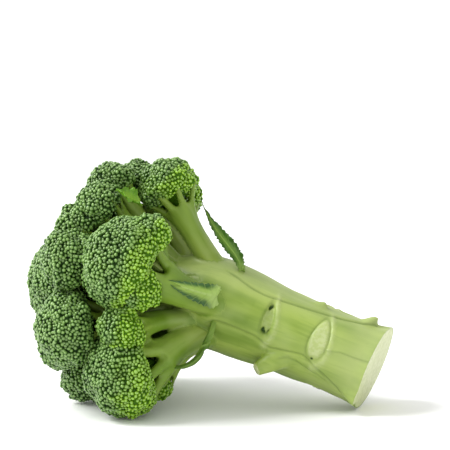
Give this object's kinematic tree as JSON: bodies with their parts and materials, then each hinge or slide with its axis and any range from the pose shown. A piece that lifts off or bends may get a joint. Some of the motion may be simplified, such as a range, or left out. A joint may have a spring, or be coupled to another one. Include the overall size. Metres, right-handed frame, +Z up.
{
  "type": "broccoli head",
  "caption": "Broccoli head cut from its plant, lying on its side: a thick stalk divides into branches that carry a domed crown of bud florets, with a few small leaves.",
  "frame": {"origin": "centre of the bottom of the box around the lying head, on the surface it rests on", "axes": "+X towards the cut end of the stalk, +Y away from the front, +Z up"},
  "size_m": [0.178, 0.1258, 0.1188],
  "materials": {
    "stalk": null,
    "buds": null,
    "leaf": null
  },
  "bodies": {
    "root": {"bract": "leaf", "branch_back": "stalk", "branch_back_low": "stalk", "branch_back_top": "stalk", "branch_crown_back": "stalk", "branch_crown_bottom": "stalk", "branch_crown_front": "stalk", "branch_crown_low_back": "stalk", "branch_crown_low_front": "stalk", "branch_crown_mid_front": "stalk", "branch_crown_tip": "stalk", "branch_crown_top": "stalk", "branch_crown_top_back": "stalk", "branch_crown_top_front": "stalk", "branch_crown_upper": "stalk", "branch_crown_upper_back": "stalk", "branch_crown_upper_front": "stalk", "branch_front": "stalk", "branch_front_low": "stalk", "branch_front_small": "stalk", "branch_low_back": "stalk", "branch_low_front": "stalk", "branch_low_small": "stalk", "branch_top": "stalk", "floret_back": "buds", "floret_back_low": "buds", "floret_back_top": "buds", "floret_crown_back": "buds", "floret_crown_bottom": "buds", "floret_crown_front": "buds", "floret_crown_low_back": "buds", "floret_crown_low_front": "buds", "floret_crown_mid_front": "buds", "floret_crown_tip": "buds", "floret_crown_top": "buds", "floret_crown_top_back": "buds", "floret_crown_top_front": "buds", "floret_crown_upper": "buds", "floret_crown_upper_back": "buds", "floret_crown_upper_front": "buds", "floret_front": "buds", "floret_front_low": "buds", "floret_front_lower_rim": "buds", "floret_front_small": "buds", "floret_front_upper_rim": "buds", "floret_low_back": "buds", "floret_low_front": "buds", "floret_low_small": "buds", "floret_top": "buds", "leaf_back": "leaf", "leaf_long": "leaf", "leaf_small": "leaf", "leaf_strip": "leaf", "leaf_stub_back": "stalk", "leaf_stub_front": "stalk", "stalk": "stalk"}
  },
  "joints": []
}
